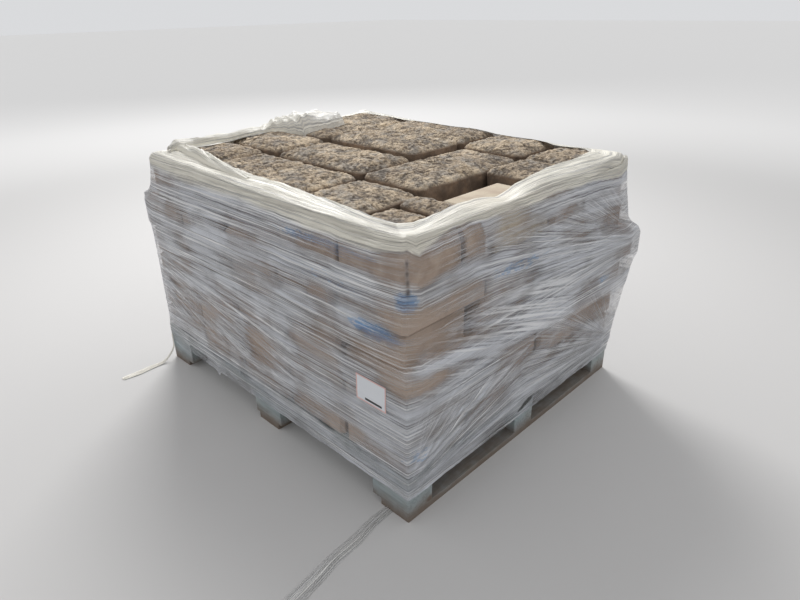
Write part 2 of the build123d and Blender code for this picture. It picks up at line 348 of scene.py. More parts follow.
def pitched_face_body(name, points):
    # A closed mesh: a fine grid over the face and a few rows down the sides. "pitched" is how
    # far the splitting reaches a point, and "held" is 1 where the film presses on the face.
    low, high = points.min(0), points.max(0)
    levels = np.unique(points[:, 2].round(5))
    arris, crown = levels[1], levels[-1]
    rim_low, rim_high = np.array(outline_low[:2]), np.array(outline_high[:2])
    low[:2] -= joint_closed * (low[:2] > rim_low + on_rim)
    high[:2] += joint_closed * (high[:2] < rim_high - on_rim)
    half, middle = (high[:2] - low[:2]) / 2, (high[:2] + low[:2]) / 2
    grid = np.meshgrid(*(np.linspace(-size, size, int(2 * size / face_spacing) + 1)
                         for size in half), indexing="ij")
    # Corners inside the load are worn rounder than those on its outside
    outside = [np.where(grid[k] < 0, low[k] < rim_low[k] + on_rim, high[k] > rim_high[k] - on_rim)
               for k in (0, 1)]
    radius = np.where(outside[0] | outside[1], outer_radius, inner_radius)
    x, y, depth = round_plan(*grid, *half, radius)
    x, y = x + middle[0], y + middle[1]
    inset = np.minimum.reduce([x - rim_low[0], rim_high[0] - x, y - rim_low[1], rim_high[1] - y])
    held = np.clip((film_band - inset) / 0.012, 0, 1)
    free_rise = np.interp(depth, free_roll, free_rises)
    held_rise = np.interp(depth, (0, 0.25 * roll_down, roll_down), (0, 0.5, 1))
    to_rim = np.clip(inset / 0.05, 0, 1)
    held_rise = (1 - to_rim) * held_rise + to_rim * np.minimum(free_rise, 0.94)
    lay_of_block = np.random.default_rng(len(name) + 7 * int(name.split("_")[-1]))
    tip = lay_of_block.uniform(-block_tip, block_tip, 2)
    stand = lay_of_block.uniform(-block_stand, block_stand)
    z = arris + (crown - arris) * (held * held_rise + (1 - held) * free_rise)
    z = z + (1 - held) * (stand + (x - middle[0]) * tip[0] + (y - middle[1]) * tip[1])
    chipped = (0.34 + 0.66 * np.clip(depth / 0.008, 0, 1)) * (1 - 0.4 * held)
    index = np.arange(x.size).reshape(x.shape)
    faces = np.stack([index[:-1, :-1], index[1:, :-1], index[1:, 1:], index[:-1, 1:]], axis=2)
    faces = faces.reshape(-1, 4).tolist()
    rows = [np.stack([part.ravel() for part in (x, y, z, chipped, 1 - 0.4 * held, held)])]
    rim = np.concatenate([index[:-1, 0], index[-1, :-1], index[:0:-1, -1], index[0, :0:-1]])
    rim_x, rim_y, rim_held = x.ravel()[rim], y.ravel()[rim], held.ravel()[rim]
    ring, level = rim, np.ones(len(rim))
    for number, height in enumerate([arris - row for row in body_rows] + [low[2]]):
        pitched = 0.40 * max(0.0, 1 - (arris - height) / 0.012)
        lumped = 0.8 * max(0.0, 1 - (arris - height) / 0.055)
        rows.append(np.stack([rim_x, rim_y, height * level, pitched * level,
                              lumped * (1 - 0.6 * rim_held), rim_held]))
        below = x.size + number * len(rim) + np.arange(len(rim))
        faces += np.stack([np.roll(ring, -1), ring, below, np.roll(below, -1)], axis=1).tolist()
        ring = below
    faces.append(ring[::-1].tolist())
    x, y, z, pitched, lumped, held = np.concatenate(rows, axis=1)
    points = np.stack([*leant(x, y, z), z], axis=1).tolist()
    return placed(name, mesh_of(name, points, faces,
                                {"pitched": pitched, "lumped": lumped, "held": held}))


def split_face_tree(finish):
    # Lumps, chips and grit, pushed out along the face, with a sideways wander at the arrises
    t = Tree(bpy.data.node_groups.new("split_face", "GeometryNodeTree"))

    def socket(name, kind, in_out="INPUT"):
        return t.tree.interface.new_socket(name, in_out=in_out, socket_type="NodeSocket" + kind)

    socket("Geometry", "Geometry")
    sizes = {"Lump Size": lump_size, "Lump Height": lump_height, "Chip Size": chip_size,
             "Chip Height": chip_height, "Grit Size": grit_size, "Grit Height": grit_height,
             "Wander": wander}
    for name, value in sizes.items():
        socket(name, "Float").default_value = value
    socket("Seed", "Int")
    socket("Geometry", "Geometry", "OUTPUT")
    given = t.node("NodeGroupInput").outputs
    shift = t.node("ShaderNodeCombineXYZ", {"X": t.times(given["Seed"], 3.7)}).outputs[0]
    place = t.vector("ADD", t.node("GeometryNodeInputPosition").outputs[0], shift)
    half = (0.5, 0.5, 0.5)

    def layer(size, detail, output=0):
        return t.noise(place, t.math("DIVIDE", 1.0, size), detail, 0.62, output)

    def centred(value, height):
        return t.times(t.minus(value, 0.5), t.times(height, 2.0))

    bent = t.vector("SUBTRACT", layer(given["Chip Size"], 1.0, 1), half)
    bent = t.vector("ADD", place, t.scaled(bent, t.times(given["Chip Size"], 0.6)))

    def chipped_flats(size):
        # Each cell is a flat chip, tilted its own way and standing a little high or low
        cells = t.cells(bent, t.math("DIVIDE", 1.0, size))
        lean = t.vector("SUBTRACT", cells["Color"], half)
        away = t.vector("SUBTRACT", bent, cells["Position"])
        tilt = t.vector("DOT_PRODUCT", lean, away, output=1)
        return t.plus(tilt, t.times(t.part(lean, "X"), t.times(size, 0.16)))

    lumps = centred(layer(given["Lump Size"], 2.0), given["Lump Height"])
    chips = t.plus(chipped_flats(given["Chip Size"]),
                   chipped_flats(t.times(given["Chip Size"], 0.42)))
    chips = t.times(chips, given["Chip Height"])
    grit = centred(layer(given["Grit Size"], 2.0), given["Grit Height"])
    pitched, lumped, held = (
        t.node("GeometryNodeInputNamedAttribute", {"Name": key}, data_type="FLOAT").outputs[0]
        for key in ("pitched", "lumped", "held"))
    relief = t.plus(t.times(lumps, lumped), t.times(t.plus(chips, grit), pitched))
    out = t.scaled(t.node("GeometryNodeInputNormal").outputs[0],
                   t.minus(relief, t.times(held, film_press)))
    stray = t.vector("SUBTRACT", layer(given["Lump Size"], 2.0, 1), half)
    stray = t.scaled(t.vector("MULTIPLY", stray, (1.0, 1.0, 0.0)),
                     t.times(given["Wander"], lumped))
    shape = t.node("GeometryNodeStoreNamedAttribute",
                   {"Geometry": given["Geometry"], "Name": "relief", "Value": relief},
                   data_type="FLOAT", domain="POINT")
    for kind, inputs in (("SetPosition", {"Offset": t.vector("ADD", out, stray)}),
                         ("SetMaterial", {"Material": finish}), ("RealizeInstances", {})):
        shape = t.node("GeometryNode" + kind, {"Geometry": shape.outputs[0], **inputs})
    t.node("NodeGroupOutput", {"Geometry": shape.outputs[0]})
    return t.tree


def grown_from(source, tree, **inputs):
    # Puts a node tree on an object, takes its result as a plain mesh and drops the source
    modifier = source.modifiers.new("shape", "NODES")
    modifier.node_group = tree
    for item in tree.interface.items_tree:
        if item.item_type == "SOCKET" and item.in_out == "INPUT" and item.name in inputs:
            modifier[item.identifier] = inputs[item.name]
    depsgraph = bpy.context.evaluated_depsgraph_get()
    mesh = bpy.data.meshes.new_from_object(source.evaluated_get(depsgraph), depsgraph=depsgraph)
    source.modifiers.clear()
    source.data = mesh
    return source


def split_finish():
    t = Finish("split_concrete")
    place = t.place()
    high = t.ramp(t.attribute("relief"), -0.0055, 0.0055)
    speckle = t.noise(place, 230.0, 3.0, 0.75)
    stone_tone = t.part(t.cells(place, 170.0)["Color"], "X")
    patches = t.ramp(t.noise(place, 22.0, 4.0, 0.68), 0.44, 0.64)
    warm_parts = t.ramp(t.noise(place, 6.0, 3.0, 0.6), 0.40, 0.62, -0.07, 0.07)
    # Raised spots are painted lighter: a painted highlight on the ridges
    tone = t.plus(t.times(speckle, 0.60), t.times(stone_tone, 0.20), t.times(high, 0.20),
                  warm_parts)
    # Low spots are painted dark: painted shade in the pits and hollows
    pit_shade = t.plus(t.times(high, 0.45), t.noise(place, 95.0, 3.0, 0.70))
    pit_shade = t.ramp(pit_shade, 0.58, 0.76, 1.0, 0.0)
    # The sides away from the film are darkened, partly damp dirt in the joints and partly painted
    # shade; the sides under the film keep the cast concrete colours
    side_tone = t.ramp(t.noise(place, 26.0, 4.0, 0.6), 0.35, 0.68)
    side = t.blend(t.attribute("held"), t.blend(side_tone, side_dirt_and_shade_dark, side_dirt_and_shade_brown),
                   t.blend(side_tone, cast_concrete, pale_concrete))
    on_side = t.ramp(t.attribute("pitched"), 0.30, 0.78, 1.0, 0.0)
    colour = t.coats(face_brown, (t.ramp(tone, 0.32, 0.72), face_tan),
                     (t.times(patches, 0.55), face_grey), (t.times(pit_shade, 0.72), pit_shade_brown),
                     (on_side, side))
    fine = t.times(t.noise(place, 330.0, 2.0, 0.6), 0.5)
    relief = t.times(t.plus(fine, speckle), t.minus(1.0, t.times(on_side, 0.8)))
    return t.done(colour, 0.95, relief, 0.0016)


top_solids = sorted(solids_of(top_course), key=lambda points: tuple(points.mean(0).round(3)))
outline_low, outline_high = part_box(top_course)
split_face = split_face_tree(split_finish())
smooth_points = min(top_solids, key=len)
for number, points in enumerate(top_solids):
    if points is smooth_points:
        continue
    block = grown_from(pitched_face_body(f"pitched_block_{number + 1}", points), split_face,
                       Seed=number)
    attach(block, "root")
    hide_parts(top_course)


# Block lying with its moulded back up
# One block of the top course is turned over, so its smooth cast back shows: pale, with arrises
# that are rounded by the mould.

mould_radius = 0.006
smooth_pale = (0.66, 0.58, 0.45, 1)
smooth_tan = (0.55, 0.47, 0.35, 1)


def soft_box(name, low, high, radius, finish):
    body = bmesh.new()
    bmesh.ops.create_cube(body, size=1)
    low, high = Vector(low), Vector(high)
    for vert in body.verts:
        vert.co = Vector([(low[k] + high[k]) / 2 + vert.co[k] * (high[k] - low[k])
                          for k in range(3)])
    bmesh.ops.bevel(body, geom=body.edges[:] + body.verts[:], offset=radius, segments=4,
                    profile=0.5, affect="EDGES")
    mesh = bpy.data.meshes.new(name)
    body.to_mesh(mesh)
    body.free()
    mesh.materials.append(finish)
    for face in mesh.polygons:
        face.use_smooth = True
    for vert in mesh.vertices:
        vert.co = (*leant(*vert.co), vert.co.z)
    return placed(name, mesh)


smooth_block = soft_box("smooth_block", smooth_points.min(0), smooth_points.max(0), mould_radius,
                        cast_finish("smooth_concrete", smooth_pale, smooth_tan, cast_concrete))
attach(smooth_block, "root")
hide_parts(top_course)


# Stretch film
# Many turns of thin clear film, wound tight round the load and the pallet's deck, and turned in
# over the rim. Where layers lie on each other it is milky, and it is drawn into fine pleats.

film_rows = 176
side_columns = {"front": 150, "right": 190, "back": 62, "left": 56}
sides = ("front", "right", "back", "left")
corner_share = 0.10
film_lift = 0.0006
film_gap = 0.0022
layer_margin = 0.006
corner_slack = 0.65
let_out_below, let_out_swing = 0.65, 0.24
let_out_above = 0.60
film_rest = 0.0015
film_span = 0.16
wall_step = 0.003
wall_top = 0.045
turned_in_rows, settle_rows, band_sag = 26, 14, 0.012
level_pleats, fan_pleats = 520, 60
pleat_height, fold_height = 0.0010, 0.0017
inner_edge_rows, lower_edge_rows = 20, 12
film_white = (0.92, 0.92, 0.92, 1)
film_grey = (0.72, 0.74, 0.79, 1)
film_shade = (0.30, 0.30, 0.34, 1)
# The sunlit cream of the turned-in band is painted light
film_lit_cream = (0.99, 0.95, 0.83, 1)
# The painted reflection of clear sky
film_blue = (0.20, 0.39, 0.70, 1)
film_sky = (0.56, 0.71, 0.88, 1)
# Painted shadow in the gap at the near corner and in the tear
film_gap_dark = (0.07, 0.06, 0.055, 1)


def side_steps(count):
    # Fractions along a side, closer together near its two corners
    steps = np.linspace(0, 1, count, endpoint=False)
    return steps - corner_share * np.sin(2 * np.pi * steps)


film_low, film_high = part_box("film_wrap")
film_tree = BVHTree.FromObject(nodes["film_wrap"], bpy.context.evaluated_depsgraph_get())
pallet_low, pallet_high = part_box("stringer_board_1")[0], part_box("stringer_board_3")[1]
pallet_corners = [Vector((pallet_low.x, pallet_low.y)), Vector((pallet_high.x, pallet_low.y)),
                  Vector((pallet_high.x, pallet_high.y)), Vector((pallet_low.x, pallet_high.y))]
targets = []
side_of_column = []
for number, side in enumerate(sides):
    for share in side_steps(side_columns[side]):
        targets.append(pallet_corners[number].lerp(pallet_corners[(number + 1) % 4], share))
        side_of_column.append(number)
side_of_column = np.array(side_of_column)


def film_profile(target):
    # The outer face of the film in one upright plane through the load's middle, from the lower
    # edge up the wall and in over the rim
    inward = Vector((-target.x, -target.y, 0)).normalized()
    path = []
    height = film_low.z + 0.0005
    while height < film_high.z:
        start = Vector((target.x, target.y, height)) - inward * 0.3
        hit = film_tree.ray_cast(start, inward, 0.5)[0]
        if hit is None:
            break
        path.append(hit)
        height += wall_step
    flat = Vector((path[-1].x, path[-1].y, 0))
    reach = 0.0
    while True:
        reach += wall_step
        hit = film_tree.ray_cast(flat + inward * reach + Vector((0, 0, 1)), Vector((0, 0, -1)))[0]
        if hit is None or hit.z < path[-1].z - 0.03:
            break
        path.append(hit)
    return np.array([point[:] for point in path])


def lengths_along(path):
    # How far each point of a path lies from its start
    steps = np.linalg.norm(np.diff(path, axis=0), axis=1)
    return np.concatenate([[0], np.cumsum(steps)])


def evenly(path, count):
    # The same path with its points evenly spaced
    lengths = lengths_along(path)
    places = np.linspace(0, lengths[-1], count)
    return np.stack([np.interp(places, lengths, line) for line in path.T], axis=1)


def softened(grid, times, along_columns):
    # Smooths a grid of points; the columns run round in a ring
    for _ in range(times):
        if along_columns:
            grid = (np.roll(grid, 1, 0) + 2 * grid + np.roll(grid, -1, 0)) / 4
        else:
            padded = np.concatenate([grid[:, :1], grid, grid[:, -1:]], axis=1)
            grid = (padded[:, :-2] + 2 * grid + padded[:, 2:]) / 4
    return grid


film_grid = np.stack([evenly(film_profile(target), film_rows) for target in targets])


def outline_of(names):
    # The tight outline in plan round everything in these nodes
    points = [Vector(vert.co[:2]) for name in names for vert in nodes[name].data.vertices]
    return [points[i] for i in convex_hull_2d(points)]


def reach_of(outline, way):
    # How far an outline reaches from the middle of the load in one direction
    furthest = 0.0
    for a, b in zip(outline, outline[1:] + outline[:1]):
        edge = b - a
        across = way.x * edge.y - way.y * edge.x
        if abs(across) > 1e-9 and 0 <= (a.x * way.y - a.y * way.x) / across <= 1:
            furthest = max(furthest, (a.x * edge.y - a.y * edge.x) / across)
    return furthest


layers = [(0.0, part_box("deck_board_1")[1].z, outline_of([n for n in nodes if "board" in n]))]
for name in lower_courses + [top_course]:
    low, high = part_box(name)
    layers.append((low.z, high.z, outline_of([name])))


def wall_reach(target, heights):
    # How far the load reaches at each height, in the direction of a target
    way = Vector(target).normalized()
    reach = np.zeros(len(heights))
    for low_z, high_z, outline in layers:
        inside = (heights > low_z - layer_margin) & (heights < high_z + layer_margin)
        reach[inside] = np.maximum(reach[inside], reach_of(outline, way) + film_gap)
    return reach


def let_out(reach, heights, below):
    # The turns span the steps between the courses, so the film is let out towards its outer
    # hull: by the share "below" under its widest point, and part of the way above it
    hull = []
    for j in range(len(reach)):
        while len(hull) > 1:
            a, b = hull[-2], hull[-1]
            turn = ((heights[b] - heights[a]) * (reach[j] - reach[a])
                    - (heights[j] - heights[a]) * (reach[b] - reach[a]))
            if turn < 0:
                break
            hull.pop()
        hull.append(j)
    outer = np.interp(np.arange(len(reach)), hull, reach[hull])
    widest = int(np.argmax(reach))
    share = np.where(np.arange(len(reach)) < widest, below, let_out_above)
    return reach + share * (outer - reach)


tight = np.zeros(film_grid.shape[:2])
wall_end = np.zeros(len(film_grid), dtype=int)
for i, target in enumerate(targets):
    heights = film_grid[i, :, 2]
    wall_end[i] = int(np.argmax(heights > heights.max() - wall_top))
    wall = slice(0, wall_end[i])
    old = np.hypot(film_grid[i, wall, 0], film_grid[i, wall, 1])
    tight[i, wall] = wall_reach(target, heights[wall])
    tight[i, wall] += corner_slack * np.maximum(old - tight[i, wall], 0)
    # The back right courses overhang most, so the film hangs straightest there
    swing = (target.x / pallet_high.x + target.y / pallet_high.y) / 2
    drawn = let_out(tight[i, wall], heights[wall], let_out_below + let_out_swing * swing)
    film_grid[i, wall, :2] *= (drawn / old)[:, None]
film_grid = softened(film_grid, 9, False)
film_grid = softened(film_grid, 2, True)
for i in range(len(film_grid)):
    wall = slice(0, wall_end[i] - 4)
    now = np.hypot(film_grid[i, wall, 0], film_grid[i, wall, 1])
    film_grid[i, wall, :2] *= (np.maximum(now, tight[i, wall] - 0.0008) / now)[:, None]
film_grid = softened(film_grid, 1, False)
film_grid[:, :, 0], film_grid[:, :, 1] = leant(*np.moveaxis(film_grid, 2, 0))


def faces_below(objects):
    # One search tree over the meshes of several objects
    points, faces = [], []
    for made in objects:
        start = len(points)
        points += [vert.co[:] for vert in made.data.vertices]
        faces += [[start + k for k in face.vertices] for face in made.data.polygons]
    return BVHTree.FromPolygons(points, faces)


def drawn_onto_blocks(grid, tree):
    # Lets the turned-in band down onto the pitched faces. It is stretched along the rim, so it
    # spans from one high spot to the next, and lies closest at its inner edge.
    heights = grid[:, :, 2].copy()
    first = film_rows - turned_in_rows
    support = np.full(heights.shape, -1.0)
    for i in range(heights.shape[0]):
        for j in range(first, film_rows):
            hit = tree.ray_cast(Vector((grid[i, j, 0], grid[i, j, 1], 1.0)), Vector((0, 0, -1)))[0]
            if hit is not None:
                support[i, j] = hit.z + film_rest
    spanned = support.copy()
    for i in range(heights.shape[0]):
        near = ring_apart[i] < film_span
        fall = (ring_apart[i][near] / film_span)[:, None] ** 2 * band_sag
        spanned[i] = (support[near] - fall).max(axis=0)
    for _ in range(3):
        spanned = even_round(np.maximum(spanned, support), 0.020)
        spanned = softened(spanned, 2, False)
    share = np.clip((np.arange(film_rows) - first) / settle_rows, 0, 1)
    share = share * share * (3 - 2 * share)
    lowered = heights + share * (spanned - heights)
    grid[:, :, 2] = np.where(spanned > 0, np.maximum(lowered, support - 0.001), heights)
    return grid


def ragged(grid):
    # The inner edge of the band wanders in and out, and the lower edge up and down. Torn flaps
    # hang from the front edge: where each begins and ends along x, and how deep it hangs.
    flaps = [(-0.60, -0.462, 0.030), (-0.300, -0.272, 0.018)]
    for i in range(len(grid)):
        place = Vector(grid[i, -1]) * 9
        wander = 0.010 * noise.noise(place) + 0.006 * noise.noise(place * 4)
        inward = grid[i, -1] - grid[i, -inner_edge_rows]
        inward /= np.linalg.norm(inward)
        grow = np.linspace(0, 1, inner_edge_rows) ** 2
        grid[i, -inner_edge_rows:] += inward * (wander * grow)[:, None]
        place = Vector(grid[i, 0]) * 14
        drop = 0.003 * noise.noise(place) + 0.002 * noise.noise(place * 5)
        if grid[i, 0, 1] < -0.49:
            for start, end, depth in flaps:
                share = (grid[i, 0, 0] - start) / (end - start)
                if 0 < share < 1:
                    drop -= depth * share ** 1.3
        grid[i, :lower_edge_rows, 2] += drop * np.linspace(1, 0, lower_edge_rows)
    return grid


# Lengths round the load and up the film, in metres, at each point of the grid
ring = film_grid[:, film_rows // 2, :2]
ring_steps = np.linalg.norm(np.roll(ring, -1, 0) - ring, axis=1)
round_load = np.concatenate([[0], np.cumsum(ring_steps)[:-1]])
film_girth = ring_steps.sum()
ring_apart = np.abs(round_load[:, None] - round_load[None, :])
ring_apart = np.minimum(ring_apart, film_girth - ring_apart)


def even_round(values, reach):
    # Averages values along the ring over about this length
    weights = np.exp(-(ring_apart / reach) ** 2)
    return (weights / weights.sum(axis=1, keepdims=True)) @ values


up_film = np.concatenate([np.zeros((len(targets), 1)),
                          np.cumsum(np.linalg.norm(np.diff(film_grid, axis=1), axis=2), axis=1)],
                         axis=1)
up_film = even_round(up_film, 0.12)
column_u = np.repeat(round_load[:, None], film_rows, axis=1)
side_start = {side: round_load[np.argmax(side_of_column == k)] for k, side in enumerate(sides)}

film_grid = ragged(film_grid)
block_faces = [made for made in bpy.data.objects if made.name.startswith("pitched_block")]
film_grid = drawn_onto_blocks(film_grid, faces_below(block_faces + [smooth_block]))


def normals_of(grid):
    across = np.roll(grid, -1, 0) - np.roll(grid, 1, 0)
    up = np.gradient(grid, axis=1)
    normal = np.cross(across, up)
    return normal / np.linalg.norm(normal, axis=2, keepdims=True)


def pleat(side, start, end, width):
    # How strongly one straight pleat raises each point: 1 on its line, fading across its width
    # and towards its ends. Its ends are lengths along one side and up the film.
    along = np.array(end) - np.array(start)
    length = np.hypot(*along)
    along = along / length
    start_u = side_start[side] + start[0]
    du = (column_u - start_u + film_girth / 2) % film_girth - film_girth / 2
    dv = up_film - start[1]
    travel = (du * along[0] + dv * along[1]) / length
    away = (-du * along[1] + dv * along[0]) / width
    ends = np.clip(np.minimum(travel, 1 - travel) * 5, 0, 1)
    return np.exp(-away ** 2) * ends * ends * (3 - 2 * ends)


def local_u(side):
    # Lengths along one side, from its first corner
    return (column_u - side_start[side] + film_girth / 2) % film_girth - film_girth / 2


# The turns fan out where the film was pulled from one place: side, that place, the part of the
# side that the fan covers as low and high corners, and how strong it is
fans = [
    ("front", (-0.40, 0.40), (-0.02, 0.10), (0.80, 0.38), 0.85),
    ("right", (-0.07, 0.02), (0.0, 0.0), (0.50, 0.24), 1.0),
    ("right", (-1.10, 0.78), (0.02, 0.24), (0.70, 0.46), 0.8),
    ("right", (1.12, 0.415), (0.22, 0.32), (1.03, 0.62), 0.9),
    ("right", (1.03, 0.05), (0.42, -0.02), (1.02, 0.29), 1.0),
]
fan_reference = 0.6
fan_u, fan_v, fan_share = np.zeros((3, 2, *column_u.shape))
for number, (side, origin, low, high, strength) in enumerate(fans):
    slot_number = int(number > 2)
    u = local_u(side) - origin[0]
    v = up_film - origin[1]
    edge = np.minimum.reduce([(local_u(side) - low[0]) / 0.08, (high[0] - local_u(side)) / 0.08,
                              (up_film - low[1]) / 0.06, (high[1] - up_film) / 0.06])
    share = np.clip(edge, 0, 1)
    here = share > 0
    fan_u[slot_number] = np.where(here, np.hypot(u, v), fan_u[slot_number])
    fan_v[slot_number] = np.where(here, np.arctan2(v, np.abs(u)) * fan_reference + 3.0 * number,
                                  fan_v[slot_number])
    fan_share[slot_number] = np.where(here, strength * share, fan_share[slot_number])

# Fine pleats: most lie level or nearly so, and the rest follow the fans
lay = np.random.default_rng(11)
ridges = np.zeros(column_u.shape)
for _ in range(level_pleats):
    u = lay.uniform(0, film_girth)
    v = lay.uniform(0.0, 0.80)
    length = lay.uniform(0.12, 0.6)
    slope = lay.normal(-0.02, 0.035)
    ridges += lay.uniform(-0.5, 1.0) * pleat("front", (u, v), (u + length, v + slope * length),
                                             lay.uniform(0.0022, 0.005))
for side, origin, low, high, strength in fans:
    for _ in range(fan_pleats):
        place = np.array([lay.uniform(low[0], high[0]), lay.uniform(low[1], high[1])])
        along = (place - origin) / np.hypot(*(place - origin))
        reach = lay.uniform(0.06, 0.22)
        start, end = place - reach * along, place + reach * along
        start[0] = max(start[0], low[0])
        ridges += lay.uniform(0.1, 1.1) * pleat(side, start, end, lay.uniform(0.0022, 0.0045))

# Folds that stand out in the film: side, start and end as lengths along the side and up the
# film, width and height
long_folds = [
    ("front", (-0.02, 0.365), (0.46, 0.330), 0.006, 1.3),
    ("front", (-0.02, 0.343), (0.52, 0.283), 0.006, 1.3),
    ("front", (-0.02, 0.300), (0.60, 0.180), 0.006, 1.0),
    ("front", (0.72, 0.520), (1.14, 0.552), 0.013, 2.0),
    ("front", (0.55, 0.500), (1.10, 0.515), 0.006, 1.4),
    ("front", (0.94, 0.450), (1.18, 0.448), 0.012, 2.0),
    ("front", (0.60, 0.425), (1.12, 0.395), 0.006, 1.2),
    ("right", (-0.03, 0.485), (0.27, 0.385), 0.008, 3.0),
    ("right", (0.22, 0.400), (0.70, 0.262), 0.008, 2.6),
    ("right", (-0.02, 0.362), (0.46, 0.285), 0.016, 2.6),
    ("right", (0.36, 0.290), (0.72, 0.290), 0.016, 2.4),
    ("right", (-0.02, 0.075), (0.45, 0.225), 0.008, 3.4),
    ("right", (-0.01, 0.060), (0.34, 0.150), 0.007, 2.2),
    ("right", (-0.01, 0.032), (0.48, 0.062), 0.008, 3.0),
    ("right", (0.05, 0.130), (0.52, 0.250), 0.007, 1.8),
    ("right", (0.48, 0.205), (1.00, 0.068), 0.007, 2.2),
    ("right", (0.52, 0.150), (1.00, 0.060), 0.006, 2.0),
    ("right", (0.45, 0.085), (1.00, 0.052), 0.006, 1.8),
    ("right", (0.60, 0.265), (1.00, 0.085), 0.008, 2.2),
    ("right", (0.30, 0.530), (1.03, 0.428), 0.006, 2.0),
    ("right", (0.25, 0.500), (1.03, 0.420), 0.006, 1.6),
    ("right", (0.42, 0.470), (1.03, 0.412), 0.007, 1.6),
    ("right", (0.30, 0.440), (1.03, 0.402), 0.006, 1.4),
    ("right", (0.45, 0.585), (1.03, 0.470), 0.006, 1.6),
]

folds = np.zeros(column_u.shape)
for side, start, end, width, height in long_folds:
    folds += height * pleat(side, start, end, width)

# Near the rim the turns lie parallel, one beside another
rim_run = np.clip((up_film - 0.50) / 0.12, 0, 1)
rim_lines = np.sin(up_film * 2 * np.pi / 0.023 + 1.3 * np.sin(column_u * 2.1)
                   + 0.7 * np.sin(column_u * 5.3 + 1.0))
ridges += 0.30 * rim_run * rim_lines

normals = normals_of(film_grid)
raised = film_lift + pleat_height * ridges + fold_height * folds
film_grid = film_grid + normals * np.maximum(raised, -0.0004)[:, :, None]


def patch(side, middle, size):
    # 1 in the middle of an oval patch of the film, fading to 0 at its edge
    away = np.hypot((local_u(side) - middle[0]) / size[0], (up_film - middle[1]) / size[1])
    return np.clip(1.4 * (1 - away), 0, 1)


# How milky the film is at each point. Clear windows lie at the near corner, where single
# layers are drawn over the ends of the blocks.
fold_over = 0.672
plain_haze = 0.56
haze = plain_haze + 0.16 * np.clip(ridges, -0.6, 1.2) + 0.22 * np.clip(folds, 0, 1.5)
# The turned-in band is milky with many layers, and its bright sunlit cream is painted light that
# reaches down over the edge, furthest along the front and at the near corner
front_u, right_u = local_u("front"), local_u("right")
front_length = side_start["right"] - side_start["front"]
along_front = np.clip(front_u / front_length, 0, 1)
down_front = np.interp(along_front, (0, 0.10, 0.30, 0.60, 1.0),
                       (0.026, 0.032, 0.046, 0.042, 0.046))
down_right = np.interp(right_u, (0, 0.10, 0.17, 0.40, 1.05), (0.046, 0.026, 0.012, 0.026, 0.030))
down = np.where((front_u >= 0) & (front_u <= front_length), down_front,
                np.where(right_u >= 0, down_right, 0.010))
down += 0.003 * np.sin(column_u * 9.0) + 0.002 * np.sin(column_u * 31.0)
band_soft = np.interp(along_front, (0.4, 0.9), (0.020, 0.006))
band = np.clip((up_film - fold_over + down) / np.where(down == 0.010, 0.02, band_soft), 0, 1)
haze = haze * (1 - band) + band * (0.84 + 0.1 * np.clip(ridges, -1, 1))
clear_windows = [
    ("right", (0.05, 0.600), (0.13, 0.085), 1.0),
    ("front", (1.16, 0.600), (0.10, 0.070), 0.7),
    ("right", (0.05, 0.470), (0.14, 0.060), 0.9),
    ("right", (0.10, 0.400), (0.18, 0.050), 0.6),
    ("right", (0.96, 0.340), (0.13, 0.085), 0.35),
    ("right", (0.06, 0.300), (0.20, 0.050), 0.6),
    ("front", (0.98, 0.350), (0.24, 0.050), 0.7),
    ("front", (0.95, 0.600), (0.32, 0.030), 0.75),
    ("front", (0.30, 0.200), (0.45, 0.060), 0.3),
]
for side, middle, size, strength in clear_windows:
    haze = haze * (1 - strength * patch(side, middle, size))
# More turns lie over the upper left of the front
haze += 0.13 * patch("front", (0.35, 0.47), (0.62, 0.26))
# The film is pulled clear over one block's corner, with a crisp edge above and at the right
over_corner = (np.clip((right_u - 0.170) / 0.030, 0, 1)
               * np.clip((0.262 - right_u) / 0.004, 0, 1)
               * np.clip((0.652 - up_film) / 0.004, 0, 1)
               * np.clip((up_film - 0.550) / 0.05, 0, 1))
haze *= 1 - 0.55 * over_corner
# Patches where a reflection of clear sky is painted on the film: side, middle, size and strength
sky_reflection_patches = [
    ("right", (0.005, 0.530), (0.060, 0.060), 1.0),
    ("front", (1.10, 0.435), (0.18, 0.050), 1.0),
    ("right", (0.010, 0.270), (0.060, 0.045), 0.35),
    ("front", (0.94, 0.604), (0.38, 0.030), 0.9),
    ("front", (0.95, 0.530), (0.38, 0.045), 0.55),
    ("right", (0.030, 0.115), (0.110, 0.055), 0.65),
    ("right", (0.40, 0.500), (0.26, 0.040), 0.7),
    ("right", (0.84, 0.330), (0.10, 0.030), 0.7),
]
sky = np.zeros(column_u.shape)
for side, middle, size, strength in sky_reflection_patches:
    sky = np.maximum(sky, strength * patch(side, middle, size))
sky *= 1 - band
haze = np.clip(haze + 0.20 * sky, 0.02, 0.97)
# At the near corner the film spans a gap beside the end of a block, and the gap's shadow is
# painted dark on the film
gap = (np.exp(-((right_u - 0.006 - 0.001 * np.sin(up_film * 70)) / 0.0055) ** 2)
       * (0.72 + 0.28 * np.sin(up_film * 310))
       * np.clip((0.628 - up_film) / 0.006, 0, 1) * np.clip((up_film - 0.535) / 0.02, 0, 1))
# A small tear near the lower edge, with the shade of the space inside the pallet painted dark in
# it
tear_u, tear_v = right_u - 0.49, up_film - 0.034
tear = np.hypot((tear_u - 0.3 * tear_v) / 0.040, (tear_v - 0.25 * tear_u) / 0.011)
gap = np.maximum(gap, np.clip((1 - tear) * 6, 0, 1))


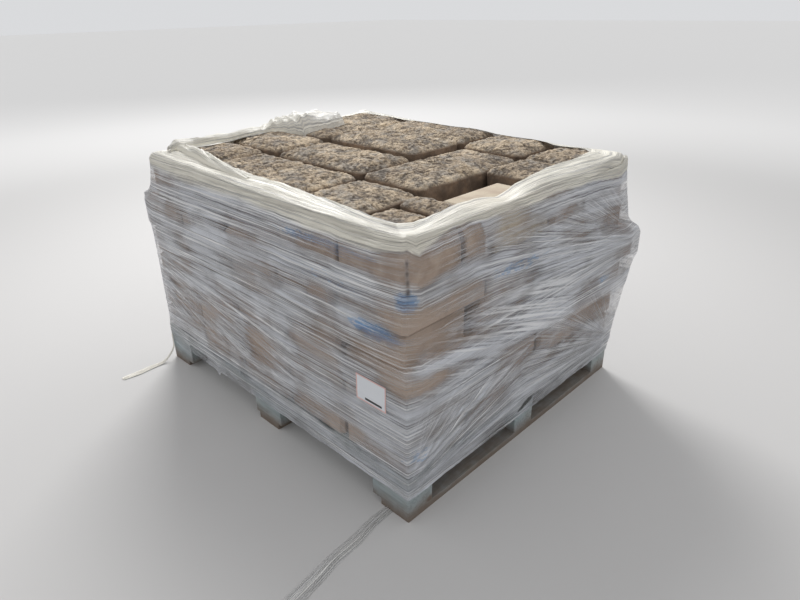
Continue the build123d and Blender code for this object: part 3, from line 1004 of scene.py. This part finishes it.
def film_finish():
    t = Finish("stretch_film")
    level, fan_lay, far_fan_lay = (t.lay(name) for name in ("film_lay", "fan_lay", "far_fan_lay"))
    haze, sky, gap, band, fan, far_fan = (
        t.attribute(name) for name in ("haze", "sky", "gap", "band", "fan", "far_fan"))

    def streaks(lay_map, across, turn, low, high, along=1.5):
        drawn = t.stretched(lay_map, (along, across, 1.0), (0, 0, turn))
        return t.ramp(t.noise(drawn, 1.0, 3.0, 0.7), low, high)

    # Three lays of level turns, each at its own slant, and the fans over them
    bright = t.most(streaks(level, 170.0, 0.0, 0.53, 0.62),
                    t.times(streaks(level, 240.0, 0.045, 0.53, 0.62), 0.9),
                    t.times(streaks(level, 200.0, 0.12, 0.55, 0.63), 0.8))
    # The dark streaks are painted shade between the pleats
    dark = t.most(streaks(level, 130.0, 0.015, 0.54, 0.62),
                  t.times(streaks(level, 210.0, 0.09, 0.55, 0.63), 0.8))
    calm = t.minus(1.0, t.times(t.most(fan, far_fan), 0.65))
    bright, dark = t.times(bright, calm), t.times(dark, calm)
    for lay_map, share in ((fan_lay, fan), (far_fan_lay, far_fan)):
        drawn = t.most(streaks(lay_map, 150.0, 0.0, 0.53, 0.61),
                       streaks(lay_map, 290.0, 0.0, 0.54, 0.62))
        bright = t.most(bright, t.times(drawn, share))
        dark = t.most(dark, t.times(streaks(lay_map, 190.0, 0.01, 0.54, 0.62), share))
    dark = t.times(dark, t.minus(1.0, bright))
    # How much of what lies behind the film it hides
    broad = t.noise(t.stretched(level, (1.4, 16.0, 1.0), (0, 0, 0.03)), 1.0, 4.0)
    cloud = t.noise(t.stretched(level, (5.0, 7.0, 1.0), (0, 0, 0.1)), 1.0, 3.0)
    drawn_in = t.ramp(haze, 0.0, 0.35, 0.25, 1.0)
    cover = t.minus(t.plus(haze, t.times(bright, drawn_in, 0.40)), t.times(dark, drawn_in, 0.20))
    cover = t.plus(cover, t.times(t.ramp(broad, 0.38, 0.62, -0.24, 0.18), drawn_in),
                   t.times(t.ramp(cloud, 0.40, 0.60, -0.18, 0.16), drawn_in))
    cover = t.most(cover, t.times(band, 0.80), t.times(gap, 0.75), 0.02)
    cover = t.math("MINIMUM", cover, 0.97)
    # The band takes the painted sunlit cream, with painted shade in the dark lines between its
    # turns along the rim
    along_rim = t.most(dark, streaks(level, 130.0, 0.006, 0.55, 0.61, along=0.8))
    lit_band_tone = t.blend(t.times(along_rim, 0.50), film_lit_cream, film_shade)
    # A painted reflection of clear sky lies in crinkled patches
    crinkle = t.noise(t.stretched(level, (30.0, 75.0, 1.0)), 1.0, 4.0, 0.75)
    mirrored = t.ramp(t.plus(t.times(sky, 0.60), crinkle), 0.86, 1.02)
    mirrored = t.times(mirrored, t.minus(1.0, t.times(bright, 0.55)))
    blue = t.blend(t.ramp(crinkle, 0.50, 0.66), film_blue, film_sky)
    colour = t.coats(film_grey, (bright, film_white), (t.times(dark, 0.8), film_shade),
                     (band, lit_band_tone), (mirrored, blue), (gap, film_gap_dark))
    t.shader.inputs["Specular IOR Level"].default_value = 0.5
    clear = t.node("ShaderNodeBsdfTransparent")
    both = t.node("ShaderNodeMixShader", {0: cover, 1: clear.outputs[0],
                                          2: t.shader.outputs["BSDF"]})
    t.put(both.outputs[0], t.end.inputs["Surface"])
    height = t.plus(t.minus(bright, t.times(dark, 0.7)), broad)
    return t.done(colour, t.ramp(band, 0.0, 1.0, 0.26, 0.45), height, 0.0012)


def sheet_from(name, grid, closed, finish, lays, **values):
    # A mesh over a grid of points, with UV maps of lengths
    columns, rows = grid.shape[:2]
    index = np.arange(columns * rows).reshape(columns, rows)
    faces = []
    for i in range(columns if closed else columns - 1):
        a, b = index[i], index[(i + 1) % columns]
        faces += np.stack([a[:-1], b[:-1], b[1:], a[1:]], axis=1).tolist()
    mesh = mesh_of(name, grid.reshape(-1, 3).tolist(), faces, values)
    corner_verts = np.zeros(len(mesh.loops), dtype=np.int64)
    mesh.loops.foreach_get("vertex_index", corner_verts)
    for number, (key, (lay_u, lay_v)) in enumerate(lays.items()):
        uv = mesh.uv_layers.new(name=key)
        places = np.stack([lay_u.ravel()[corner_verts], lay_v.ravel()[corner_verts]], axis=1)
        if closed and number == 0:
            # The last column of faces runs on past the full girth instead of back to zero
            joining = np.arange(len(corner_verts)) >= 4 * (rows - 1) * (columns - 1)
            places[joining & (corner_verts < rows), 0] += film_girth
        uv.data.foreach_set("uv", places.astype(np.float32).ravel())
    mesh.polygons.foreach_set("use_smooth", [True] * len(mesh.polygons))
    mesh.materials.append(finish)
    mesh.update()
    return placed(name, mesh)


stretch_film = film_finish()
film_lays = {"film_lay": (column_u, up_film), "fan_lay": (fan_u[0], fan_v[0]),
             "far_fan_lay": (fan_u[1], fan_v[1])}
film = sheet_from("stretch_film_wrap", film_grid, True, stretch_film, film_lays, haze=haze,
                  sky=sky, gap=gap, band=band, fan=fan_share[0], far_fan=fan_share[1])
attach(film, "root")
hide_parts("film_wrap")


# Bunched end of the film
# The last turn was drawn together into a rope along the left rim, and ends in a crumpled open
# heap on the blocks. It is the same film, so it creases into sharp folds.

bunch_along, bunch_across = 210, 64
bunch_spread = 0.007
bunch_crease = 0.50
bunch_stray = 0.004
heap_reach = 0.052
bunch_seed = 1795714048

bunch_low, bunch_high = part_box("film_bunch")
bunch_tree = BVHTree.FromObject(nodes["film_bunch"], bpy.context.evaluated_depsgraph_get())
rest_tree = faces_below(block_faces + [smooth_block, film])


def height_on(tree, x, y, otherwise):
    hit = tree.ray_cast(Vector((x, y, 1.2)), Vector((0, 0, -1)))[0]
    return otherwise if hit is None else hit.z


def creased(u, v):
    # Sharp folds of two sizes, from 0 to 1
    total = 0.0
    for scale, share in ((1.0, 0.76), (2.3, 0.24)):
        total += share * (1 - abs(2 * noise.noise(Vector((u * scale, v * scale, 3.1 * scale)))))
    return min(max(total, 0.0), 1.0)


# Without a seed the sideways noise would start from the clock and differ from run to run
noise.seed_set(bunch_seed)
bunch_grid = np.zeros((bunch_along, bunch_across, 3))
bunch_haze, bunch_lit_share = np.zeros((2, bunch_along, bunch_across))
scan = np.linspace(bunch_low.x, bunch_high.x, 90)
for i, y in enumerate(np.linspace(bunch_low.y + 0.001, bunch_high.y - 0.001, bunch_along)):
    under = [x for x in scan if height_on(bunch_tree, x, y, 0) > 0]
    first_x, last_x = under[0] - bunch_spread, under[-1] + bunch_spread
    # "heap" is 1 over the open heap and 0 along the rope, and "closing" narrows the far end
    heap = min(max((y + 0.02) / 0.08, 0), 1) * min(max((bunch_high.y - y) / 0.05, 0), 1)
    last_x += heap_reach * heap
    closing = min(max((bunch_high.y - y) / 0.06, 0), 1) ** 0.5
    last_x = first_x + (last_x - first_x) * (0.25 + 0.75 * closing)
    wide = last_x - first_x
    crest_height = max(height_on(bunch_tree, x, y, 0) for x in under)
    for j, share in enumerate(np.linspace(0, 1, bunch_across)):
        x = first_x + share * wide
        ground = height_on(rest_tree, x, y, 0.75) + 0.0015
        crest = (max(crest_height - ground, 0.0) * (0.70 + 0.34 * heap)
                 * (1 - abs(2 * share - 1) ** 2.6) ** 0.7)
        hollow = 1 - 0.38 * heap * math.sin(math.pi * min(share * 1.15, 1)) ** 2
        fold = creased(x * (11 - 3 * heap) + 1.2 * math.sin(y * 7), y * (3.6 + 2.4 * heap))
        rise = crest * hollow * (1 - (bunch_crease - 0.12 * heap) * (1 - fold))
        rise *= 0.4 + 0.6 * closing
        side = noise.noise_vector(Vector((x * 18, y * 10, 0.5))) * bunch_stray
        top = ground + rise
        low_share = min((top - ground) / 0.02, 1.0)
        bunch_grid[i, j] = (x + side.x * low_share, y + side.y * low_share, ground + max(rise, 0))
        bunch_haze[i, j] = 0.90 - 0.24 * heap + (0.10 + 0.32 * heap) * fold ** 2
        # Painted light: the bunch takes the sunlit cream of the band, a little less over the heap
        bunch_lit_share[i, j] = 1 - 0.25 * heap


def piece_of_film(name, grid, laid, milk, replaced, band=1.0):
    # A loose part of the film. "laid" is the length and width that its pattern is drawn on.
    # band is how much of the painted sunlit cream of the turned-in band the piece takes
    none = np.zeros(grid.shape[:2])
    lay = np.meshgrid(*(np.linspace(0, size, count) for size, count in zip(laid, none.shape)),
                      indexing="ij")
    part = sheet_from(name, grid, False, stretch_film,
                      {"film_lay": lay, "fan_lay": (none, none), "far_fan_lay": (none, none)},
                      haze=none + milk, sky=none, gap=none, band=none + band, fan=none,
                      far_fan=none)
    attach(part, "root")
    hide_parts(replaced)
    return part


piece_of_film("bunched_end", bunch_grid, (bunch_high.y - bunch_low.y, 0.2), bunch_haze,
              "film_bunch", bunch_lit_share)


# Twisted fold of the film
# The rope of film runs on from the front left corner along the inner edge of the band. It was
# twisted as it was pulled tight, and it lies loose on the blocks.

twist_along, twist_across = 120, 26
twist_path = [(-0.525, -0.395), (-0.47, -0.388), (-0.38, -0.396), (-0.27, -0.412), (-0.15, -0.424),
              (-0.06, -0.430)]
twist_widths = (0.030, 0.050, 0.042, 0.034, 0.026, 0.012)
twist_heights = (0.016, 0.024, 0.022, 0.016, 0.010, 0.002)
twist_turns = 7


def along_points(points, count):
    # Even steps along a path, with its bends rounded
    path = evenly(np.array(points), count)
    for _ in range(count // 10):
        path[1:-1] = (path[:-2] + 2 * path[1:-1] + path[2:]) / 4
    return path


twist_line = along_points(twist_path, twist_along)
twist_grid = np.zeros((twist_along, twist_across, 3))
for i, (x, y) in enumerate(twist_line):
    part = i / (twist_along - 1)
    width = np.interp(part * 5, range(6), twist_widths)
    high = np.interp(part * 5, range(6), twist_heights)
    for j, share in enumerate(np.linspace(-1, 1, twist_across)):
        turned = share * 2.6 + part * twist_turns
        fold = 0.78 + 0.22 * abs(math.sin(turned)) - 0.10 * (1 - creased(x * 20, share * 2))
        py = y + share * width / 2
        ground = height_on(rest_tree, x, py, 0.76) + 0.001
        twist_grid[i, j] = (x, py, ground + high * math.sqrt(max(0, 1 - share ** 2)) * fold)
piece_of_film("twisted_fold", twist_grid, (0.48, 0.06), 0.85, "film_bunch")


# Loose tails of the film
# Two strips that tore off while the pallet was wrapped and moved: a thin one that hangs from the
# front left corner and lies on the ground, and a rope-like one from under the front right runner.

strip_along, strip_across = 110, 18
split_from = 88
side_tail_path = [(-0.5035, 0.102), (-0.5040, 0.075), (-0.5045, 0.052), (-0.520, 0.030),
                  (-0.545, 0.010), (-0.565, 0.003), (-0.600, 0.002), (-0.650, 0.002),
                  (-0.706, 0.002)]
side_tail_widths = (0.007, 0.009, 0.012, 0.015, 0.020, 0.024, 0.026, 0.026, 0.025)
front_tail_path = [(0.530, -0.4995), (0.533, -0.56), (0.545, -0.63), (0.549, -0.70),
                   (0.561, -0.77), (0.572, -0.8452)]
front_tail_widths = (0.030, 0.033, 0.036, 0.038, 0.042, 0.046)
front_tail_height = 0.008


def spread(values, count):
    # A list of values spread evenly over so many steps
    return np.interp(np.linspace(0, 1, count), np.linspace(0, 1, len(values)), values)


side_path = along_points(side_tail_path, strip_along)
side_widths = spread(side_tail_widths, strip_along)
side_grid = np.zeros((strip_along, strip_across, 3))
across_share = np.linspace(-0.5, 0.5, strip_across)
for i, (y, z) in enumerate(side_path):
    gathered = 1 - i / (strip_along - 1)
    for j, share in enumerate(across_share):
        ripple = creased(share * 3.1, y * 22) * (0.0012 + 0.0012 * gathered)
        x = -0.587 + share * side_widths[i] + 0.0015 * math.sin(y * 55)
        side_grid[i, j] = (x, y - ripple * gathered, max(z, 0.0006) + ripple * (1 - gathered))
# The torn end is split into two tongues
for i in range(split_from, strip_along):
    part = (i - split_from) / (strip_along - 1 - split_from)
    for j, share in enumerate(across_share):
        side_grid[i, j, 0] += (1 if share > 0 else -1) * -0.003 * part
        side_grid[i, j, 1] += part * 0.020 * (1 - abs(abs(share) * 4 - 1)) * -0.2
        side_grid[i, j, 1] += part * 0.024 * max(0.0, 1 - abs(share) * 7)
side_milk = 0.7 + 0.2 * np.abs(np.sin(np.linspace(0, 0.05, strip_across) * 300))
piece_of_film("side_tail", side_grid, (0.25, 0.05), side_milk, "film_tail_side")

rope_along, rope_across = 150, 40
front_path = along_points(front_tail_path, rope_along)
front_widths = spread(front_tail_widths, rope_along)
front_grid = np.zeros((rope_along, rope_across, 3))
for i, (x, y) in enumerate(front_path):
    for j, share in enumerate(np.linspace(-1, 1, rope_across)):
        # Two ridges side by side that wander a little, with finer folds beside them
        sway = 0.07 * math.sin(y * 21) + 0.03 * math.sin(y * 57)
        ridge = (math.exp(-((share + 0.40 - sway) / 0.14) ** 2)
                 + 0.7 * math.exp(-((share - 0.05 + 0.6 * sway) / 0.12) ** 2))
        fold = creased(share * 4, y * 3)
        height = front_tail_height * (0.50 * ridge + 0.42 * fold) * (1 - share ** 6)
        front_grid[i, j] = (x + share * front_widths[i] / 2, y, 0.0007 + min(height, 0.0085))
rope_milk = np.clip(0.42 + 60 * (front_grid[:, :, 2] - 0.001), 0.3, 0.95)
piece_of_film("front_tail", front_grid, (0.35, 0.08), rope_milk, "film_tail_front",
              band=0.35)


# Paper label
# A white paper label, stuck on the film over its turns. It is blank, with a pale pink border and
# one plain bar, because the real one's text isn't copied.

label_low, label_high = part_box("label")
label_columns, label_rows = 27, 19
label_border = 0.004
label_clearance = 0.0009
bar_across, bar_up = (0.30, 0.86), (0.10, 0.19)
# The paper's slight blue tint is painted shade: the blue of the shade it lies in
paper_white = (0.83, 0.85, 0.88, 1)
paper_pink = (0.80, 0.55, 0.52, 1)
bar_ink = (0.05, 0.045, 0.05, 1)


def label_finish():
    t = Finish("label_paper")
    lay = t.lay("label_lay")
    wide, high = label_high.x - label_low.x, label_high.z - label_low.z

    def inside(axis, low, high):
        # 1 between two values and 0 outside them
        value = t.part(lay, axis)
        return t.times(t.math("GREATER_THAN", value, low), t.math("LESS_THAN", value, high))

    field = t.times(inside("X", label_border, wide - label_border),
                    inside("Y", label_border, high - label_border))
    bar = t.times(inside("X", *(wide * share for share in bar_across)),
                  inside("Y", *(high * share for share in bar_up)))
    return t.done(t.coats(paper_pink, (field, paper_white), (bar, bar_ink)), 0.55)


wall_tree = faces_below([film])
label_grid = np.zeros((label_columns, label_rows, 3))
label_x = np.linspace(label_low.x, label_high.x, label_columns)
label_z = np.linspace(label_low.z, label_high.z, label_rows)
for i, x in enumerate(label_x):
    for j, z in enumerate(label_z):
        hit = wall_tree.ray_cast(Vector((x, -1, z)), Vector((0, 1, 0)))[0]
        label_grid[i, j] = (x, hit.y, z)
# The paper is stiffer than the film, so it lies on a flat fit and clears every pleat
flat_terms = np.stack([np.ones(label_grid[:, :, 0].size), label_grid[:, :, 0].ravel(),
                       label_grid[:, :, 2].ravel()], axis=1)
fit = np.linalg.lstsq(flat_terms, label_grid[:, :, 1].ravel(), rcond=None)[0]
flat_y = (flat_terms @ fit).reshape(label_columns, label_rows)
bowed = softened(np.minimum(label_grid, flat_y[:, :, None])[:, :, 1:2], 3, False)[:, :, 0]
label_grid[:, :, 1] = np.minimum(bowed, label_grid[:, :, 1]) - label_clearance
label_lay = np.meshgrid(label_x - label_low.x, label_z - label_low.z, indexing="ij")
paper = sheet_from("paper_label", label_grid, False, label_finish(), {"label_lay": label_lay})
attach(paper, "root")
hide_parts("label")


# Floor, light and camera
# A pale floor, a broad soft lamp behind the load and above it, and an even pale surround. The
# camera stands where the photograph was taken from.

camera_place = Vector((1.3936, -1.3171, 1.1713))
camera_heading = 134.72
camera_tilt = -25.76
camera_roll = -1.083
camera_lens = 27.54
floor_pale = (0.54, 0.53, 0.52, 1)
floor_under_lamp = (0.27, 0.265, 0.26, 1)
near_glow, far_glow = 0.03, 0.45
surround_strength = 0.71
backdrop_seen = 0.75
backdrop_tone = (0.93, 0.94, 0.96, 1)
lamp_size, lamp_power = 2.7, 375.0
lamp_place = Vector((-4.0, 2.7, 4.4))
reach = 40.0

floor_mesh = bpy.data.meshes.new("floor")
floor_mesh.from_pydata([(-reach, -reach, 0), (reach, -reach, 0), (reach, reach, 0),
                        (-reach, reach, 0)], [], [(0, 1, 2, 3)])
floor = placed("floor", floor_mesh)
ground = Finish("pale_floor")
to_camera = ground.node("ShaderNodeLightPath").outputs["Is Camera Ray"]
far_out = ground.vector("LENGTH", ground.place(), output=1)
glow = ground.times(to_camera, ground.ramp(far_out, 1.0, 6.0, near_glow, far_glow))
glow = ground.node("ShaderNodeEmission", {"Color": (1, 1, 1, 1), "Strength": glow})
seen_floor = ground.node("ShaderNodeAddShader", {0: ground.shader.outputs["BSDF"],
                                                 1: glow.outputs[0]})
ground.put(seen_floor.outputs[0], ground.end.inputs["Surface"])
floor_tone = ground.blend(ground.ramp(far_out, 1.2, 3.8), floor_pale, floor_under_lamp)
floor_mesh.materials.append(ground.done(floor_tone, 0.9))

lamp_data = bpy.data.lights.new("soft_lamp", "AREA")
lamp_data.energy = lamp_power
lamp_data.size = lamp_size
lamp = placed("soft_lamp", lamp_data)
lamp.location = lamp_place
lamp.rotation_mode = "QUATERNION"
lamp.rotation_quaternion = (Vector((0, 0, 0.5)) - lamp_place).to_track_quat("-Z", "Y")

world = bpy.data.worlds.new("surround")
world.use_nodes = True
bpy.context.scene.world = world
surround = Tree(world.node_tree)
surround.tree.nodes.clear()
path = surround.node("ShaderNodeLightPath").outputs
seen = surround.most(*(path[f"Is {kind} Ray"] for kind in ("Camera", "Glossy", "Transmission")))
strength = surround.ramp(seen, 0.0, 1.0, surround_strength, backdrop_seen)
backdrop = surround.node("ShaderNodeBackground", {"Color": backdrop_tone, "Strength": strength})
surround.node("ShaderNodeOutputWorld", {"Surface": backdrop.outputs[0]})

camera_data = bpy.data.cameras.new("camera")
camera_data.lens = camera_lens
camera_data.sensor_width = 36
camera = placed("camera", camera_data)
camera.matrix_world = (Matrix.Translation(camera_place)
                       @ Matrix.Rotation(math.radians(camera_heading - 90), 4, "Z")
                       @ Matrix.Rotation(math.radians(camera_tilt + 90), 4, "X")
                       @ Matrix.Rotation(math.radians(camera_roll), 4, "Z"))
bpy.context.scene.camera = camera
bpy.context.scene.view_settings.view_transform = "Standard"
